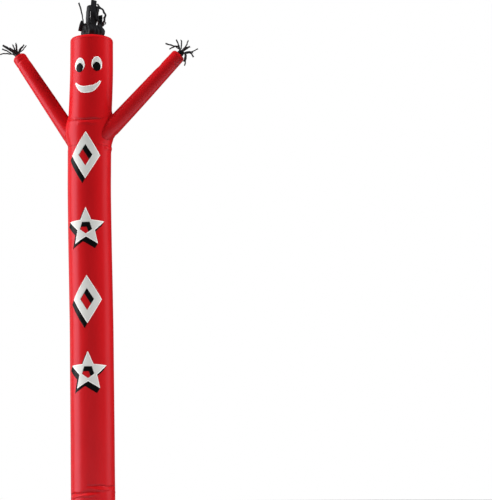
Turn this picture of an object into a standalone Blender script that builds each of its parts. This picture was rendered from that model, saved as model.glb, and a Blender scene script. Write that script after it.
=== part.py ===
"""Inflatable air dancer: a tall tube of red ripstop cloth that a fan's air holds up.

A shoulder tube with two arms sewn into its holes joins the body tube to the head tube with its
smiling face, and black cloth slit into strips makes the hair and the hands. Four white block
motifs with black shadows are sewn down the front.

Metres, +Z up, the face looks along -Y. The dancer stands on its hem at z = 0. Angles round the
tube are in degrees from the front, growing towards +X.
"""

import math

import bmesh
import bpy
from mathutils import Quaternion, Vector

# ---- driving dimensions ---------------------------------------------------------------------

TUBE_RADIUS = 0.2285           # an 18 inch tube, the size of its fan's outlet ring
SHOULDER_SEAM = 3.88           # where the shoulder tube is sewn on, below the arms
NECK_HEIGHT = 4.16             # the neck seam at the front
TOP_HEIGHT = 5.07              # the front rim of the head
BASE_X = -0.043                # the tube's foot, beside the origin at the middle of the reach
BASE_Y = -0.018

CLOTH = 0.002                  # every sheet's thickness
PATCH_CLOTH = 0.001            # the sewn-on patches, a single thinner layer
SEAM_GAP = 0.0003              # kept between neighbouring pieces

TUBE_SIDES = 40
SIDE_STEP = 360.0 / TUBE_SIDES
ARM_SIDES = 20
SHARP_ANGLE = 40.0             # degrees; softer corners between faces are shaded smooth

# The tube's centre line leans and its girth varies a little up its height.
TUBE_SECTIONS = (
    # height, lean, radius
    (0.00, 0.000, TUBE_RADIUS),
    (0.20, 0.000, TUBE_RADIUS),
    (0.54, -0.004, TUBE_RADIUS),
    (1.29, -0.009, TUBE_RADIUS),
    (1.91, -0.015, TUBE_RADIUS),
    (2.80, -0.031, TUBE_RADIUS),
    (3.44, -0.041, TUBE_RADIUS),
    (3.88, -0.039, 0.2300),
    (4.10, -0.034, 0.2320),
    (4.28, -0.028, TUBE_RADIUS),
    (4.68, -0.015, TUBE_RADIUS),
    (5.10, -0.015, 0.2270),
)

# Rings of the body, shoulder and head tubes; the folds get rings of their own.
BODY_ROWS = (0.0, 0.20, 0.237, 0.259, 0.284, 0.312, 0.34, 0.60, 1.20, 1.90, 2.60,
             3.10, 3.44, 3.80, 3.845, SHOULDER_SEAM)
SHOULDER_ROWS = (SHOULDER_SEAM, 3.92, 3.97, 4.04, 4.10, 4.135, NECK_HEIGHT)
HEAD_ROWS = (NECK_HEIGHT, 4.185, 4.22, 4.36, 4.68, 5.035)

# Soft folds, pressed in by depth; a negative depth is a puff.
FOLDS = (
    # angle, height, half_angle, half_height, depth
    (15.0, NECK_HEIGHT, 62.0, 0.050, 0.014),
    (12.0, 4.115, 60.0, 0.045, -0.008),
    (-30.0, 0.258, 48.0, 0.024, 0.010),
    (-20.0, 0.236, 52.0, 0.016, -0.005),
    (72.0, 0.312, 36.0, 0.024, 0.011),
    (84.0, 0.284, 34.0, 0.024, -0.006),
    (150.0, 0.290, 40.0, 0.030, 0.008),
    (-130.0, 0.300, 34.0, 0.026, 0.008),
    (80.0, 3.885, 32.0, 0.050, -0.010),
    (-85.0, 3.880, 34.0, 0.050, 0.006),
)

# The arms pull the shoulders out sideways, and the neck seam climbs over the arms' roots.
SHOULDER_PULL = 0.030
SHOULDER_HEIGHT = 4.04
SHOULDER_REACH = 0.17
SEAM_CLIMB = 0.085
SEAM_CLIMB_BELOW = 0.12
SEAM_CLIMB_ABOVE = 0.30

# The head's closed top.
RIM_ROUNDING = TOP_HEIGHT - HEAD_ROWS[-1]
RIM_TUBE_STEPS = (24.0, 48.0)     # degrees round the rim, up to the top's seam
RIM_TOP_STEPS = (66.0, 90.0)
VENT_RADIUS = 0.118
TOP_CROWN = 0.006

# ---- finishes -------------------------------------------------------------------------------


def linear(hex_colour):
    """An sRGB hex colour as the linear values a shader takes."""
    channels = [int(hex_colour[i:i + 2], 16) / 255.0 for i in (1, 3, 5)]
    curve = [c / 12.92 if c <= 0.04045 else ((c + 0.055) / 1.055) ** 2.4 for c in channels]
    return (*curve, 1.0)


def cloth_material(name, hex_colour, roughness):
    material = bpy.data.materials.new(name)
    material.use_nodes = True
    shader = material.node_tree.nodes["Principled BSDF"]
    shader.inputs["Base Color"].default_value = linear(hex_colour)
    shader.inputs["Roughness"].default_value = roughness
    shader.inputs["Metallic"].default_value = 0.0
    return material


def clear_scene():
    for item in list(bpy.data.objects):
        bpy.data.objects.remove(item, do_unlink=True)


# ---- meshes ---------------------------------------------------------------------------------


def add_object(name, points, faces, material):
    """A mesh object whose faces are listed anticlockwise, seen from outside."""
    mesh = bpy.data.meshes.new(name)
    mesh.from_pydata([tuple(p) for p in points], [], faces)
    mesh.validate()
    mesh.shade_smooth()
    mesh.set_sharp_from_angle(angle=math.radians(SHARP_ANGLE))
    if material:
        mesh.materials.append(material)
    item = bpy.data.objects.new(name, mesh)
    bpy.context.collection.objects.link(item)
    return item


def ring_strip(first, second, count):
    """Triangles between two closed rings whose points start at these indices."""
    faces = []
    for k in range(count):
        after = (k + 1) % count
        faces.append((first + k, first + after, second + after))
        faces.append((first + k, second + after, second + k))
    return faces


def wall(name, outer_rings, inner_rings, material):
    """A sheet closed into a tube or a collar: outer rings, inner rings and the two edges."""
    count = len(outer_rings[0])
    rows = len(outer_rings)
    points = [p for ring in [*outer_rings, *inner_rings] for p in ring]
    inside = rows * count
    faces = ring_strip(inside, 0, count)
    faces += ring_strip((rows - 1) * count, inside + (rows - 1) * count, count)
    for r in range(rows - 1):
        strip = ring_strip(r * count, (r + 1) * count, count)
        faces += strip
        faces += [tuple(inside + i for i in reversed(face)) for face in strip]
    return add_object(name, points, faces, material)


def plug(name, rings):
    """A capped solid through the rings, used for cutting."""
    count = len(rings[0])
    points = [p for ring in rings for p in ring]
    faces = [tuple(reversed(range(count)))]
    for r in range(len(rings) - 1):
        faces += ring_strip(r * count, (r + 1) * count, count)
    faces.append(tuple(range((len(rings) - 1) * count, len(rings) * count)))
    cutter = add_object(name, points, faces, None)
    cutter.hide_render = True
    cutter.display_type = 'WIRE'
    return cutter


def cut(item, cutter):
    trim = item.modifiers.new("cut_" + cutter.name, 'BOOLEAN')
    trim.operation = 'DIFFERENCE'
    trim.solver = 'EXACT'
    trim.object = cutter


def thicken(item, thickness):
    sheet = item.modifiers.new("cloth", 'SOLIDIFY')
    sheet.thickness = thickness
    sheet.offset = -1.0


# ---- the tube's form ------------------------------------------------------------------------


def soft_bump(distance, reach):
    """1 at no distance, falling smoothly to 0 at the reach."""
    if abs(distance) >= reach:
        return 0.0
    return 0.5 + 0.5 * math.cos(math.pi * distance / reach)


def section_at(height):
    """The lean and the radius at a height, in straight steps between the table's rows."""
    for low, high in zip(TUBE_SECTIONS, TUBE_SECTIONS[1:]):
        if height <= high[0]:
            break
    part = (height - low[0]) / (high[0] - low[0])
    return tuple(low[i] + (high[i] - low[i]) * part for i in (1, 2))


def angle_between(angle, other):
    return (angle - other + 180.0) % 360.0 - 180.0


def fold_depth(angle, height):
    depth = 0.0
    for fold_angle, fold_height, half_angle, half_height, fold in FOLDS:
        across = soft_bump(angle_between(angle, fold_angle), half_angle)
        depth += fold * across * soft_bump(height - fold_height, half_height)
    return depth


def seam_climb(angle, height):
    """How far the neck seam, and the cloth near it, is lifted over the arms."""
    reach = SEAM_CLIMB_BELOW if height < NECK_HEIGHT else SEAM_CLIMB_ABOVE
    side = math.sin(math.radians(angle)) ** 2
    return SEAM_CLIMB * side * soft_bump(height - NECK_HEIGHT, reach)


def tube_point(angle, height, out=0.0, lift=0.0, inset=0.0):
    """A point on the tube's outer face, moved out or lifted; the inset draws it in."""
    lean, radius = section_at(height)
    side = math.sin(math.radians(angle)) ** 4       # only near the two arms
    radius += SHOULDER_PULL * side * soft_bump(height - SHOULDER_HEIGHT, SHOULDER_REACH)
    radius += out - inset - fold_depth(angle, height)
    turn = math.radians(angle)
    return Vector((BASE_X + lean + radius * math.sin(turn),
                   BASE_Y - radius * math.cos(turn),
                   height + lift + seam_climb(angle, height)))


def tube_ring(height, out=0.0, lift=0.0):
    return [tube_point(k * SIDE_STEP, height, out, lift) for k in range(TUBE_SIDES)]


def rim_ring(rim_angle, out=0.0):
    """A ring on the rounded rim: 0 degrees is the upright wall, 90 the flat top."""
    turn = math.radians(rim_angle)
    rounding = RIM_ROUNDING + out
    height = TOP_HEIGHT - RIM_ROUNDING
    inset = RIM_ROUNDING - rounding * math.cos(turn)
    lift = rounding * math.sin(turn)
    return [tube_point(k * SIDE_STEP, height, 0.0, lift, inset) for k in range(TUBE_SIDES)]


def top_ring(radius, height):
    """A level ring on the head's top, about the head's own centre."""
    lean = section_at(TOP_HEIGHT)[0]
    ring = []
    for k in range(TUBE_SIDES):
        turn = math.radians(k * SIDE_STEP)
        ring.append(Vector((BASE_X + lean + radius * math.sin(turn),
                            BASE_Y - radius * math.cos(turn), height)))
    return ring


def faceted_point(angle, height, out, rows):
    """A point on the flat facets between the tube's rings and columns, moved out."""
    column = math.floor(angle / SIDE_STEP)
    across = angle / SIDE_STEP - column
    for low, high in zip(rows, rows[1:]):
        if height <= high:
            break
    up = (height - low) / (high - low)
    edges = []
    for row in (low, high):
        left = tube_point(column * SIDE_STEP, row, out)
        right = tube_point((column + 1) * SIDE_STEP, row, out)
        edges.append(left.lerp(right, across))
    return edges[0].lerp(edges[1], up)


# ---- tubes ----------------------------------------------------------------------------------


def make_body(material):
    outer = [tube_ring(height) for height in BODY_ROWS]
    inner = [tube_ring(height, -CLOTH) for height in BODY_ROWS]
    return wall("body_tube", outer, inner, material)


def rings_above_seam(rows, out):
    """A tube's rings, the lowest lifted a seam's gap off the tube below."""
    return [tube_ring(rows[0], out, SEAM_GAP), *[tube_ring(height, out) for height in rows[1:]]]


def make_shoulders(material):
    outer = rings_above_seam(SHOULDER_ROWS, 0.0)
    inner = rings_above_seam(SHOULDER_ROWS, -CLOTH)
    return wall("shoulder_tube", outer, inner, material)


def make_head(material):
    outer = rings_above_seam(HEAD_ROWS, 0.0)
    inner = rings_above_seam(HEAD_ROWS, -CLOTH)
    for rim_angle in RIM_TUBE_STEPS:
        outer.append(rim_ring(rim_angle))
        inner.append(rim_ring(rim_angle, -CLOTH))
    return wall("head_tube", outer, inner, material)


def make_head_top(material):
    seam_turn = math.degrees(SEAM_GAP / (RIM_ROUNDING - CLOTH))
    steps = (RIM_TUBE_STEPS[-1] + seam_turn, *RIM_TOP_STEPS)
    outer = [rim_ring(rim_angle) for rim_angle in steps]
    inner = [rim_ring(rim_angle, -CLOTH) for rim_angle in steps]
    crown = TOP_HEIGHT + TOP_CROWN
    outer.append(top_ring(VENT_RADIUS, crown))
    inner.append(top_ring(VENT_RADIUS, crown - CLOTH))
    return wall("head_top", outer, inner, material)


# ---- arms -----------------------------------------------------------------------------------

RIGHT_ARM = dict(root=(-0.028, 0.000, 3.872), tip=(0.949, -0.078, 4.855), sag=-0.006)
LEFT_ARM = dict(root=(-0.027, 0.000, 3.690), tip=(-0.851, 0.147, 4.952), sag=0.006)

# Girth along an arm, from the tube's middle to the end seam; the root is spread sideways.
ARM_SECTIONS = (
    # part of the length, half width, half height
    (0.05, 0.128, 0.0885),
    (0.14, 0.127, 0.0890),
    (0.23, 0.118, 0.0895),
    (0.30, 0.103, 0.0895),
    (0.38, 0.093, 0.0890),
    (0.55, 0.087, 0.0860),
    (0.78, 0.081, 0.0800),
    (0.97, 0.075, 0.0750),
)
ARM_END_STEPS = (25.0, 50.0, 72.0)      # degrees round the puffed end
ARM_END_LENGTH = 0.036
CUFF_RADIUS = 0.036
ARM_HOLE_SECTIONS = 5                   # the arm's first sections, which cut its hole in the tube


def arm_frame(arm):
    """The arm's middle line: root, unit direction, length, and its two cross directions.

    The first cross direction is level and faces the front; the second lies under the right
    arm and over the left one.
    """
    root = Vector(arm["root"]) + Vector((BASE_X, BASE_Y, 0.0))
    tip = Vector(arm["tip"]) + Vector((BASE_X, BASE_Y, 0.0))
    along = (tip - root).normalized()
    level = Vector((along.y, -along.x, 0.0)).normalized()
    if level.y > 0.0:
        level.negate()
    return root, along, (tip - root).length, level, along.cross(level)


def arm_ring(arm, part, half_width, half_height, beyond=0.0, sides=ARM_SIDES):
    root, along, length, level, second = arm_frame(arm)
    sag = Vector((0.0, 0.0, arm["sag"] * math.sin(math.pi * part)))
    centre = root + along * (length * part + beyond) + sag
    ring = []
    for k in range(sides):
        turn = math.tau * k / sides
        ring.append(centre + level * half_width * math.cos(turn)
                    + second * half_height * math.sin(turn))
    return ring


def arm_rings(arm, inset, with_end=True):
    rings = [arm_ring(arm, part, half_width - inset, half_height - inset)
             for part, half_width, half_height in ARM_SECTIONS]
    if not with_end:
        return rings
    shoulder = ARM_SECTIONS[-1][1]
    hem = CUFF_RADIUS / math.cos(math.pi / ARM_SIDES) + SEAM_GAP
    for step in ARM_END_STEPS:
        turn = math.radians(step)
        radius = hem + (shoulder - hem) * math.cos(turn) - inset * math.cos(turn)
        beyond = (ARM_END_LENGTH - inset) * math.sin(turn)
        rings.append(arm_ring(arm, ARM_SECTIONS[-1][0], radius, radius, beyond))
    rings.append(arm_ring(arm, ARM_SECTIONS[-1][0], hem, hem, ARM_END_LENGTH - inset))
    return rings


def make_arm(name, arm, tube_cutter, shoulders, material):
    item = wall(name, arm_rings(arm, 0.0), arm_rings(arm, CLOTH), material)
    cut(item, tube_cutter)
    hole_rings = arm_rings(arm, CLOTH, with_end=False)[:ARM_HOLE_SECTIONS]
    hole = plug(name + "_hole", hole_rings)
    cut(shoulders, hole)
    return item


# ---- slit cloth: hair and hands -------------------------------------------------------------


def curve_point(start, middle, end, part):
    """A point on the parabola from start to end that is pulled towards the middle."""
    rest = 1.0 - part
    return start * rest * rest + middle * 2.0 * rest * part + end * part * part


ROOT_WAIST = 0.70              # how far a strip gathers in above its root


def slit_collar(name, rings, strips, columns, steps, material):
    """A collar of cloth slit into strips above its last ring, thickened as one sheet.

    Each strip takes some of the collar's columns, and follows a parabola from its root
    while it turns about its own length.
    """
    count = len(rings[0])
    points = [p for ring in rings for p in ring]
    faces = []
    for r in range(len(rings) - 1):
        faces += ring_strip(r * count, (r + 1) * count, count)
    last = (len(rings) - 1) * count
    centre = sum(rings[-1], Vector()) / count
    for number, strip in enumerate(strips):
        previous = [last + (number * columns + c) % count for c in range(columns + 1)]
        roots = [points[i] for i in previous]
        start = sum(roots, Vector()) / len(roots)
        across = (roots[-1] - roots[0]).normalized()
        end = centre + Vector(strip["tip"])
        middle = centre + Vector(strip["pull"])
        before = start
        heading = (middle - start).normalized()
        for step in range(1, steps + 1):
            part = step / steps
            here = curve_point(start, middle, end, part)
            new_heading = (here - before).normalized()
            across = heading.rotation_difference(new_heading) @ across
            across = (across - new_heading * across.dot(new_heading)).normalized()
            heading = new_heading
            before = here
            turned = Quaternion(heading, math.radians(strip["turn"]) * part) @ across
            width = strip["width"] * (ROOT_WAIST + (1.0 - ROOT_WAIST) * min(1.0, part * 2.0))
            current = []
            for c in range(columns + 1):
                current.append(len(points))
                points.append(here + turned * width * (c / columns - 0.5))
            for c in range(columns):
                faces.append((previous[c], previous[c + 1], current[c + 1], current[c]))
            previous = current
    item = add_object(name, points, faces, material)
    thicken(item, CLOTH)
    return item


def strip_rows(rows):
    """Strips from a table whose columns are the tip, the pull, the turn and the width."""
    return [dict(tip=row[0:3], pull=row[3:6], turn=row[6], width=row[7]) for row in rows]


HAIR_SIDES = 20
HAIR_SINK = 0.020
HAIR_PLEATS = 5.0
HAIR_COLLAR = (
    # height over the top, radius, depth of the pleats
    (-HAIR_SINK, VENT_RADIUS - SEAM_GAP, 0.000),
    (0.010, VENT_RADIUS - SEAM_GAP, 0.000),
    (0.055, 0.121, 0.006),
    (0.095, 0.112, 0.004),
)

# The hair's strips in order round the collar, from the front towards +X.
HAIR_STRIPS = strip_rows((
    # tip x, y, z; pull x, y, z; turn; width
    (-0.005, -0.060, 0.318, 0.012, -0.120, 0.150, 0.0, 0.064),
    (0.055, -0.110, 0.250, 0.070, -0.125, 0.120, 15.0, 0.050),
    (0.070, -0.050, 0.290, 0.180, -0.070, 0.170, 10.0, 0.050),
    (0.120, 0.050, 0.170, 0.160, 0.050, 0.110, -10.0, 0.055),
    (0.050, 0.120, 0.270, 0.075, 0.130, 0.100, 10.0, 0.050),
    (-0.010, 0.080, 0.316, 0.000, 0.125, 0.150, 0.0, 0.062),
    (-0.080, 0.120, 0.280, -0.070, 0.130, 0.120, 0.0, 0.050),
    (-0.150, 0.045, 0.290, -0.110, 0.060, 0.130, 40.0, 0.030),
    (-0.196, -0.020, -0.030, -0.186, -0.020, 0.130, 0.0, 0.054),
    (-0.068, -0.080, 0.262, -0.070, -0.110, 0.120, -5.0, 0.050),
))


def hair_rings():
    rings = []
    crown = TOP_HEIGHT + TOP_CROWN
    lean = section_at(TOP_HEIGHT)[0]
    for height, radius, pleat_depth in HAIR_COLLAR:
        ring = []
        for k in range(HAIR_SIDES):
            turn = math.tau * k / HAIR_SIDES
            pleat = radius + pleat_depth * math.cos(HAIR_PLEATS * turn)
            ring.append(Vector((BASE_X + lean + pleat * math.sin(turn),
                                BASE_Y - pleat * math.cos(turn), crown + height)))
        rings.append(ring)
    return rings


HAND_SIDES = 12
HAND_COLLAR = (
    # distance past the arm's end, radius
    (-0.016, CUFF_RADIUS),
    (0.008, CUFF_RADIUS),
    (0.030, 0.033),
)

# The hands' strips in order round the cuff: the first faces the front, and they go on under
# the right hand and over the left one.
RIGHT_HAND_STRIPS = strip_rows((
    # tip x, y, z; pull x, y, z; turn; width
    (0.070, -0.120, 0.030, 0.050, -0.060, 0.030, 0.0, 0.018),
    (0.030, -0.060, -0.120, 0.060, -0.050, 0.000, 0.0, 0.018),
    (0.030, -0.030, -0.155, 0.070, -0.035, -0.012, 0.0, 0.018),
    (0.122, 0.000, -0.060, 0.090, 0.000, 0.020, 0.0, 0.018),
    (0.170, 0.030, 0.040, 0.110, 0.030, -0.005, 0.0, 0.018),
    (0.110, 0.120, 0.020, 0.070, 0.060, 0.020, 0.0, 0.018),
    (0.080, 0.130, 0.090, 0.050, 0.060, 0.060, 0.0, 0.018),
    (0.062, 0.070, 0.145, 0.040, 0.050, 0.060, 0.0, 0.018),
    (-0.016, 0.060, 0.150, 0.000, 0.050, 0.070, 0.0, 0.018),
    (-0.062, 0.010, 0.138, -0.020, 0.010, 0.060, 0.0, 0.018),
    (-0.128, -0.015, 0.030, -0.030, -0.015, 0.095, 0.0, 0.018),
    (-0.165, -0.060, 0.080, -0.040, -0.060, 0.050, 0.0, 0.018),
))
LEFT_HAND_STRIPS = strip_rows((
    # tip x, y, z; pull x, y, z; turn; width
    (-0.060, -0.120, 0.040, -0.035, -0.060, 0.030, 0.0, 0.018),
    (0.010, -0.090, 0.100, 0.000, -0.050, 0.060, 0.0, 0.018),
    (0.070, -0.040, 0.060, 0.030, -0.020, 0.060, 0.0, 0.018),
    (0.102, 0.010, 0.096, 0.050, 0.010, 0.030, 0.0, 0.018),
    (0.060, 0.080, 0.120, 0.020, 0.050, 0.060, 0.0, 0.018),
    (0.030, 0.125, 0.105, 0.010, 0.070, 0.055, 0.0, 0.018),
    (-0.030, 0.100, 0.140, -0.018, 0.060, 0.070, 0.0, 0.018),
    (-0.070, 0.080, 0.130, -0.040, 0.050, 0.070, 0.0, 0.018),
    (-0.150, 0.030, 0.105, -0.070, 0.025, 0.065, 0.0, 0.018),
    (-0.165, 0.000, 0.060, -0.090, 0.000, 0.030, 0.0, 0.018),
    (-0.190, -0.030, -0.005, -0.100, -0.025, 0.010, 0.0, 0.018),
    (-0.140, -0.080, 0.085, -0.060, -0.050, 0.030, 0.0, 0.018),
))


def hand_rings(arm):
    """The cuff's rings, set in the arm's puffed end."""
    part = ARM_SECTIONS[-1][0]
    return [arm_ring(arm, part, radius, radius, ARM_END_LENGTH + beyond, HAND_SIDES)
            for beyond, radius in HAND_COLLAR]


# ---- sewn-on patches ------------------------------------------------------------------------
# A patch is drawn flat, as (distance round the tube from the front, height) in metres.


def swept(outline, shift):
    """The outline widened into a block shadow by sliding it along the shift."""
    result = []
    count = len(outline)
    edges = []
    for i in range(count):
        start = Vector(outline[i])
        step = Vector(outline[(i + 1) % count]) - start
        moved = step.y * shift.x - step.x * shift.y > 0.0
        edges.append((start, step, moved))
    for i in range(count):
        _, step_in, moved_in = edges[i - 1]
        corner, step_out, moved_out = edges[i]
        if moved_in == moved_out:
            result.append(corner + shift if moved_in else corner)
        elif step_in.cross(step_out) > 0.0:
            pair = [corner + shift, corner] if moved_in else [corner, corner + shift]
            result += pair
        else:
            start_in = corner + shift if moved_in else corner
            start_out = corner + shift if moved_out else corner
            reach = (start_out - start_in).cross(step_out) / step_in.cross(step_out)
            result.append(start_in + step_in * reach)
    return [tuple(p) for p in result]


def lies_on(edge, axis, places):
    """Whether an edge runs along one of the lines at these places across an axis."""
    ends = [v.co[axis] for v in edge.verts]
    return any(abs(ends[0] - place) < 1e-4 and abs(ends[1] - place) < 1e-4 for place in places)


def make_patch(name, outlines, layer, rows, material):
    """A cloth patch on the tube's facets, from an outline and any cut-outs inside it."""
    bm = bmesh.new()
    edges = []
    for outline in outlines:
        corners = [bm.verts.new((x, z, 0.0)) for x, z in outline]
        for a, b in zip(corners, corners[1:] + corners[:1]):
            edges.append(bm.edges.new((a, b)))
    bmesh.ops.triangle_fill(bm, use_beauty=True, edges=edges, normal=(0.0, 0.0, 1.0))
    column_width = math.radians(SIDE_STEP) * TUBE_RADIUS
    widest = math.ceil(max(abs(v.co.x) for v in bm.verts) / column_width)
    lines = [((k * column_width, 0.0, 0.0), (1.0, 0.0, 0.0)) for k in range(-widest, widest + 1)]
    lines += [((0.0, height, 0.0), (0.0, 1.0, 0.0)) for height in rows]
    for place, direction in lines:
        everything = bm.verts[:] + bm.edges[:] + bm.faces[:]
        bmesh.ops.bisect_plane(bm, geom=everything, dist=1e-5, plane_co=place, plane_no=direction)
    bmesh.ops.remove_doubles(bm, verts=bm.verts[:], dist=2e-5)
    creases = [place[0] for place, direction in lines if direction[0] > 0.0]
    levels = [place[1] for place, direction in lines if direction[1] > 0.0]
    spare = [e for e in bm.edges if len(e.link_faces) == 2
             and not lies_on(e, 0, creases) and not lies_on(e, 1, levels)]
    bmesh.ops.dissolve_edges(bm, edges=spare, use_verts=False)
    inline = [v for v in bm.verts if len(v.link_edges) == 2 and not v.is_boundary]
    bmesh.ops.dissolve_verts(bm, verts=inline)
    for face in bm.faces:
        face.normal_update()
        if face.normal.z < 0.0:
            face.normal_flip()
    bm.verts.index_update()
    flat = [(v.co.x, v.co.y) for v in bm.verts]
    faces = [tuple(v.index for v in face.verts) for face in bm.faces]
    border = [(loop.vert.index, loop.link_loop_next.vert.index)
              for face in bm.faces for loop in face.loops if loop.edge.is_boundary]
    bm.free()

    def placed(out):
        return [faceted_point(math.degrees(x / TUBE_RADIUS), z, out, rows) for x, z in flat]

    out = SEAM_GAP + layer * (PATCH_CLOTH + SEAM_GAP)
    points = placed(out) + placed(out + PATCH_CLOTH)
    count = len(flat)
    solid = [tuple(reversed(face)) for face in faces]
    solid += [tuple(i + count for i in face) for face in faces]
    solid += [(a, b, b + count, a + count) for a, b in border]
    return add_object(name, points, solid, material)


def ellipse(centre_x, centre_z, half_width, half_height, corners=20):
    return [(centre_x + half_width * math.cos(math.tau * k / corners),
             centre_z + half_height * math.sin(math.tau * k / corners)) for k in range(corners)]


EYE_SPREAD = 0.096
EYE_HEIGHT = 4.745
EYE_HALF_WIDTH = 0.064
EYE_HALF_HEIGHT = 0.082
PUPIL_HALF_WIDTH = 0.0425
PUPIL_HALF_HEIGHT = 0.049
PUPIL_DROP = 0.031
PUPIL_CORNERS = 16

MOUTH_HALF_WIDTH = 0.146
MOUTH_TIP_HEIGHT = 4.560
MOUTH_LOWER_DEPTH = 0.127
MOUTH_UPPER_DEPTH = 0.054
MOUTH_UPPER_SPAN = 0.90                # of the lower edge's width
MOUTH_TIP_RISE = 0.012                 # the tips' thickness
MOUTH_FULLNESS = 2.3                   # 2 is a parabola; more is squarer
MOUTH_STEPS = 12


def mouth_outline():
    """A smile: a deep lower curve and a shallower upper one, meeting in blunt tips."""
    lower = []
    upper = []
    for k in range(MOUTH_STEPS + 1):
        across = -1.0 + 2.0 * k / MOUTH_STEPS
        hang = 1.0 - abs(across) ** MOUTH_FULLNESS
        lower.append((MOUTH_HALF_WIDTH * across, MOUTH_TIP_HEIGHT - MOUTH_LOWER_DEPTH * hang))
        inner = MOUTH_HALF_WIDTH * MOUTH_UPPER_SPAN * across
        dip = (MOUTH_UPPER_DEPTH + MOUTH_TIP_RISE) * hang
        upper.append((inner, MOUTH_TIP_HEIGHT + MOUTH_TIP_RISE - dip))
    return lower + upper[::-1]


SHADOW_SHIFT = Vector((-0.032, -0.050))

MOTIF_HALF_WIDTH = 0.158
MOTIF_HALF_HEIGHT = 0.250
LOZENGE_OPENING = 0.46
STAR_RADIUS = 0.212
STAR_WAIST = 0.46
STAR_OPENING = 0.70                    # of the waist's radius

MOTIFS = (
    # kind, height of the middle
    ("lozenge", 3.768),
    ("star", 3.002),
    ("lozenge", 2.248),
    ("star", 1.497),
)


def lozenge(centre_z, scale):
    half_width = MOTIF_HALF_WIDTH * scale
    half_height = MOTIF_HALF_HEIGHT * scale
    return [(half_width, centre_z), (0.0, centre_z + half_height),
            (-half_width, centre_z), (0.0, centre_z - half_height)]


def star_corner(centre_z, number, radius):
    turn = math.pi / 2.0 + math.tau * number / 10.0
    return (radius * math.cos(turn), centre_z + radius * math.sin(turn))


def star(centre_z):
    waist = STAR_RADIUS * STAR_WAIST
    return [star_corner(centre_z, k, waist if k % 2 else STAR_RADIUS) for k in range(10)]


def star_opening(centre_z):
    """A five-sided opening whose corners point at the star's waist."""
    radius = STAR_RADIUS * STAR_WAIST * STAR_OPENING
    return [star_corner(centre_z, k, radius) for k in range(1, 10, 2)]


def make_motif(number, kind, centre_z, white, black):
    if kind == "lozenge":
        outline = lozenge(centre_z, 1.0)
        cut_out = lozenge(centre_z, LOZENGE_OPENING)
    else:
        outline = star(centre_z)
        cut_out = star_opening(centre_z)
    shadow_edge = swept(outline, SHADOW_SHIFT)
    shadow_cut_out = swept(cut_out[::-1], SHADOW_SHIFT)[::-1]
    rows = [*BODY_ROWS, *SHOULDER_ROWS[1:]]
    make_patch(f"motif_shadow_{number}", [shadow_edge, shadow_cut_out], 0, rows, black)
    make_patch(f"motif_{number}", [outline, cut_out], 1, rows, white)


def make_face(white, black):
    for side, sign in (("left", -1.0), ("right", 1.0)):
        x = sign * EYE_SPREAD
        eye = ellipse(x, EYE_HEIGHT, EYE_HALF_WIDTH, EYE_HALF_HEIGHT)
        make_patch("eye_" + side, [eye], 0, HEAD_ROWS, white)
        pupil = ellipse(x, EYE_HEIGHT - PUPIL_DROP, PUPIL_HALF_WIDTH, PUPIL_HALF_HEIGHT,
                        PUPIL_CORNERS)
        make_patch("pupil_" + side, [pupil], 1, HEAD_ROWS, black)
    make_patch("mouth", [mouth_outline()], 0, HEAD_ROWS, white)


# ---- assembly -------------------------------------------------------------------------------


def main():
    clear_scene()
    red = cloth_material("red_ripstop_nylon", "#B41014", 0.42)
    white = cloth_material("white_ripstop_nylon", "#DADADA", 0.48)
    black = cloth_material("black_ripstop_nylon", "#161616", 0.50)
    satin = cloth_material("black_satin_ripstop", "#202022", 0.38)

    make_body(red)
    shoulders = make_shoulders(red)
    make_head(red)
    make_head_top(red)
    cutter_rows = [*BODY_ROWS, *SHOULDER_ROWS[1:], *HEAD_ROWS[1:]]
    tube_cutter = plug("arm_trim", [tube_ring(height, SEAM_GAP) for height in cutter_rows])
    make_arm("arm_right", RIGHT_ARM, tube_cutter, shoulders, red)
    make_arm("arm_left", LEFT_ARM, tube_cutter, shoulders, red)
    slit_collar("hair", hair_rings(), HAIR_STRIPS, columns=2, steps=7, material=satin)
    right_cuff = hand_rings(RIGHT_ARM)
    left_cuff = hand_rings(LEFT_ARM)
    slit_collar("hand_right", right_cuff, RIGHT_HAND_STRIPS, columns=1, steps=6, material=satin)
    slit_collar("hand_left", left_cuff, LEFT_HAND_STRIPS, columns=1, steps=6, material=satin)
    make_face(white, black)
    for number, (kind, centre_z) in enumerate(MOTIFS, start=1):
        make_motif(number, kind, centre_z, white, black)


main()
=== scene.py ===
"""An inflatable air dancer: a tube of red ripstop cloth, with two arms, that a fan's air holds up.

Metres, +Z up, and the face looks along -Y. Angles round the tube are in degrees from the front,
growing towards +X. "Left" and "right" are the viewer's.
"""

import math

import bmesh
import bpy
import numpy as np
from mathutils import Matrix, Quaternion, Vector


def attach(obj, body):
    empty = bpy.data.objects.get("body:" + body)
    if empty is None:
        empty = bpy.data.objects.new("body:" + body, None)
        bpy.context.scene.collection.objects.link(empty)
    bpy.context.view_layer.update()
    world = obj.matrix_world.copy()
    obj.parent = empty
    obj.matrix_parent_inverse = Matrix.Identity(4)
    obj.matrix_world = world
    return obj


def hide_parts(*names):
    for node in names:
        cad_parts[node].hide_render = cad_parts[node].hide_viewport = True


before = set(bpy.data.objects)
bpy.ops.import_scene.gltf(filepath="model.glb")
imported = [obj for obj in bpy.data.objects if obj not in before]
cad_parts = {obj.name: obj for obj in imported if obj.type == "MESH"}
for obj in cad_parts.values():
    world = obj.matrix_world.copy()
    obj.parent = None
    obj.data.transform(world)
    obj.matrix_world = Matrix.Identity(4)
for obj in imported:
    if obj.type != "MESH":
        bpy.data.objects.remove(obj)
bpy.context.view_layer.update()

# ---- camera ----
# It stands 17.5 m off at knee height, a little to the right of the dancer's front, and looks
# up. The dancer stands at the left of the frame, with room for its raised arms.

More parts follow.
